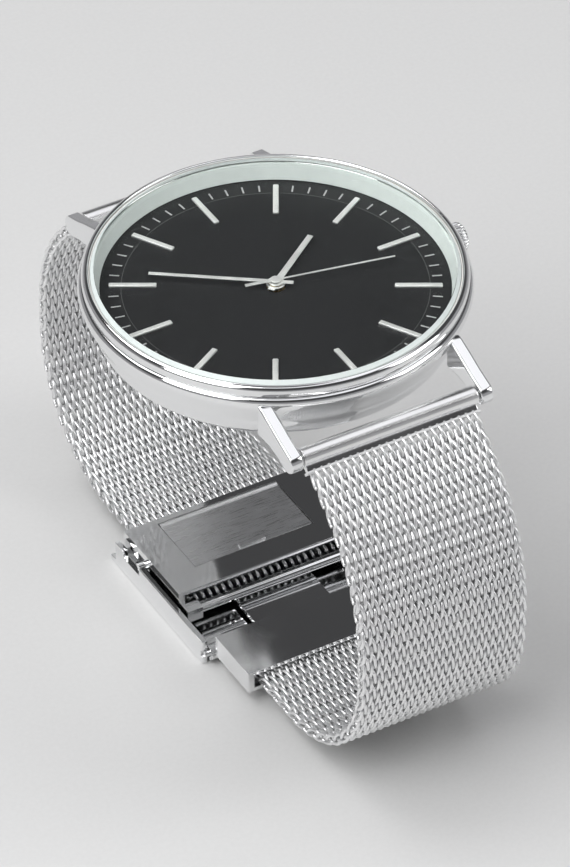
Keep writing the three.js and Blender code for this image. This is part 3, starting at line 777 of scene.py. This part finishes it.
def band_end(clock, line):
    """What joins the mesh to the case: its end strip, the end link's lip and tube, and the spring bar."""
    first = f"band_{clock}_link_1"
    link_node = (f"end_link_{clock}",)
    strip = filleted([(1.5, -0.5), (1.78, -0.5), (1.78, 0.5), (1.5, 0.5)], 0.12, 3)
    vertices, faces = across_band(line, strip, 9.8)
    strip_node = (f"band_{clock}_section_1",)
    piece(f"mesh_end_strip_{clock}", vertices, faces, WIRE, first, strip_node)

    low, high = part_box(f"spring_bar_{clock}")
    y, z = (low.y + high.y) / 2 / MM, (low.z + high.z) / 2 / MM
    tube = [(-9.9, 1.0), (9.9, 1.0)]
    bar_x(f"end_tube_{clock}", tube, y, z, 0.12, TUBE, first, link_node, 64)
    pin = [(-11.05, 0.3), (-9.95, 0.3), (-9.95, 0.4), (9.95, 0.4), (9.95, 0.3), (11.05, 0.3)]
    pin_node = (f"spring_bar_{clock}",)
    bar_x(f"spring_pin_{clock}", pin, y, z, 0.06, SATIN, "case", pin_node, 32)

    lip = [(0.2, -0.3), (1.52, -0.3), (1.52, 0.3), (0.2, 0.3)]
    vertices, faces = across_band(line, lip, 9.7)
    mesh = bevelled_mesh(f"end_lip_{clock}", vertices, faces, 0.08)
    finished(f"end_lip_{clock}", mesh, STEEL, first, link_node, True)


for band_clock in SIDES:
    middle_line = band_line(band_clock)
    woven_half(band_clock, middle_line)
    band_end(band_clock, middle_line)

# ---- clasp: the CAD's shapes with softened edges ----
rounded_copy("clasp_base", STEEL, "band_6_link_6", 0.1)
rounded_copy("clasp_cover", STEEL, "clasp_cover_body", 0.12)
rounded_copy("clasp_slider", STEEL, "band_12_link_6", 0.1)
rounded_copy("slider_lock_tab", SATIN, "slider_lock_body", 0.06)
rounded_copy("slider_bar", STEEL, "band_12_link_6", 0.06)
rounded_copy("clasp_hinge_pin", SATIN, "band_6_link_6", 0.05)

# ---- the sealed pieces keep their CAD shape, with finishes of their own ----
SEALED = {finish.slot: finish for finish in (STEEL, SATIN, BRASS, COPPER, NYLON, RUBBER, BOARD)}
slot_of = {part["node"]: part["material_slot"] for part in frame["record"]["subparts"]}
for cad_name, cad in frame["nodes"].items():
    if not cad.hide_render:
        sealed_finish = SEALED[slot_of[cad_name]]
        cad.data.materials.clear()
        cad.data.materials.append(sealed_finish.material)


# ---- studio, in metres ----
FLOOR_GAP = 0.00003  # air under the object
FLOOR_HALF = 1.5
LIGHT_DISTANCE = 0.7
CAMERA_DISTANCE = 0.65
COOL = 1.03  # the surround is this much bluer than grey


def floor():
    """A plain pale floor with a very fine grain."""
    material, tree, shader, coords = start_material("studio_floor", (0.8, 0.8, 0.79), 0.6)
    grain = noise(tree, coords, 2000, 3)
    tone = colour_spread(tree, grain, (0.66, 0.66, 0.655), (0.68, 0.68, 0.675))
    link(tree, tone, shader.inputs["Base Color"])
    mesh = bpy.data.meshes.new("studio_floor")
    z = cad_low.z - FLOOR_GAP
    corners = [(x * FLOOR_HALF, y * FLOOR_HALF, z) for x, y in ((-1, -1), (1, -1), (1, 1), (-1, 1))]
    mesh.from_pydata(corners, [], [(0, 1, 2, 3)])
    mesh.materials.append(material)
    made = in_scene("studio_floor", mesh)


def studio_world():
    """A plain grey surround, darker half-way up so that the glass stays clear, and lighter overhead."""
    world = bpy.data.worlds.new("studio")
    world.use_nodes = True
    tree = world.node_tree
    direction = tree.nodes.new("ShaderNodeTexCoord")
    parts = tree.nodes.new("ShaderNodeSeparateXYZ")
    link(tree, direction.outputs["Generated"], parts.inputs[0])
    ramp = tree.nodes.new("ShaderNodeValToRGB")
    # (height, brightness), from the horizon at 0 to straight overhead at 1
    stops = [(0.0, 0.35), (0.3, 0.3), (0.5, 0.06), (0.78, 0.06), (0.86, 1.1), (0.95, 1.1), (0.985, 0.15)]
    while len(ramp.color_ramp.elements) < len(stops):
        ramp.color_ramp.elements.new(0.5)
    for element, (height, level) in zip(ramp.color_ramp.elements, stops):
        element.position = height
        element.color = (level, level, level * COOL, 1)
    link(tree, parts.outputs["Z"], ramp.inputs[0])
    link(tree, ramp.outputs[0], tree.nodes["Background"].inputs["Color"])
    bpy.context.scene.world = world


def away(azimuth, elevation):
    """The direction out from the watch, in degrees. Azimuth 0 is the 6 o'clock side, 90 the crown's side."""
    a, e = math.radians(azimuth), math.radians(elevation)
    return Vector((math.sin(a) * math.cos(e), -math.cos(a) * math.cos(e), math.sin(e)))


def aimed(made, target, direction, distance):
    """Puts a light or camera at the distance from the target in metres, and turns it to face the target."""
    made.location = target + direction * distance
    made.rotation_euler = (-direction).to_track_quat("-Z", "Y").to_euler()


def softbox(name, azimuth, elevation, size, power):
    """A square light facing the watch's head."""
    data = bpy.data.lights.new(name, "AREA")
    data.shape = "SQUARE"
    data.size = size
    data.energy = power
    head = Vector((0, 0, CASE_LIFT * MM))
    aimed(in_scene(name, data), head, away(azimuth, elevation), LIGHT_DISTANCE)


def studio_camera():
    """A long lens from above the dial's lower left."""
    data = bpy.data.cameras.new("camera")
    data.lens = 265
    data.clip_start = 0.01
    data.clip_end = 10
    made = in_scene("camera", data)
    aimed(made, (cad_low + cad_high) / 2, away(-30, 39), CAMERA_DISTANCE)
    bpy.context.scene.camera = made


floor()
studio_world()
bpy.context.scene.view_settings.view_transform = "Standard"
softbox("key", -75, 48, 0.45, 2.8)
softbox("fill", 55, 30, 0.35, 1.2)
softbox("rim", 215, 62, 0.4, 1.6)
studio_camera()
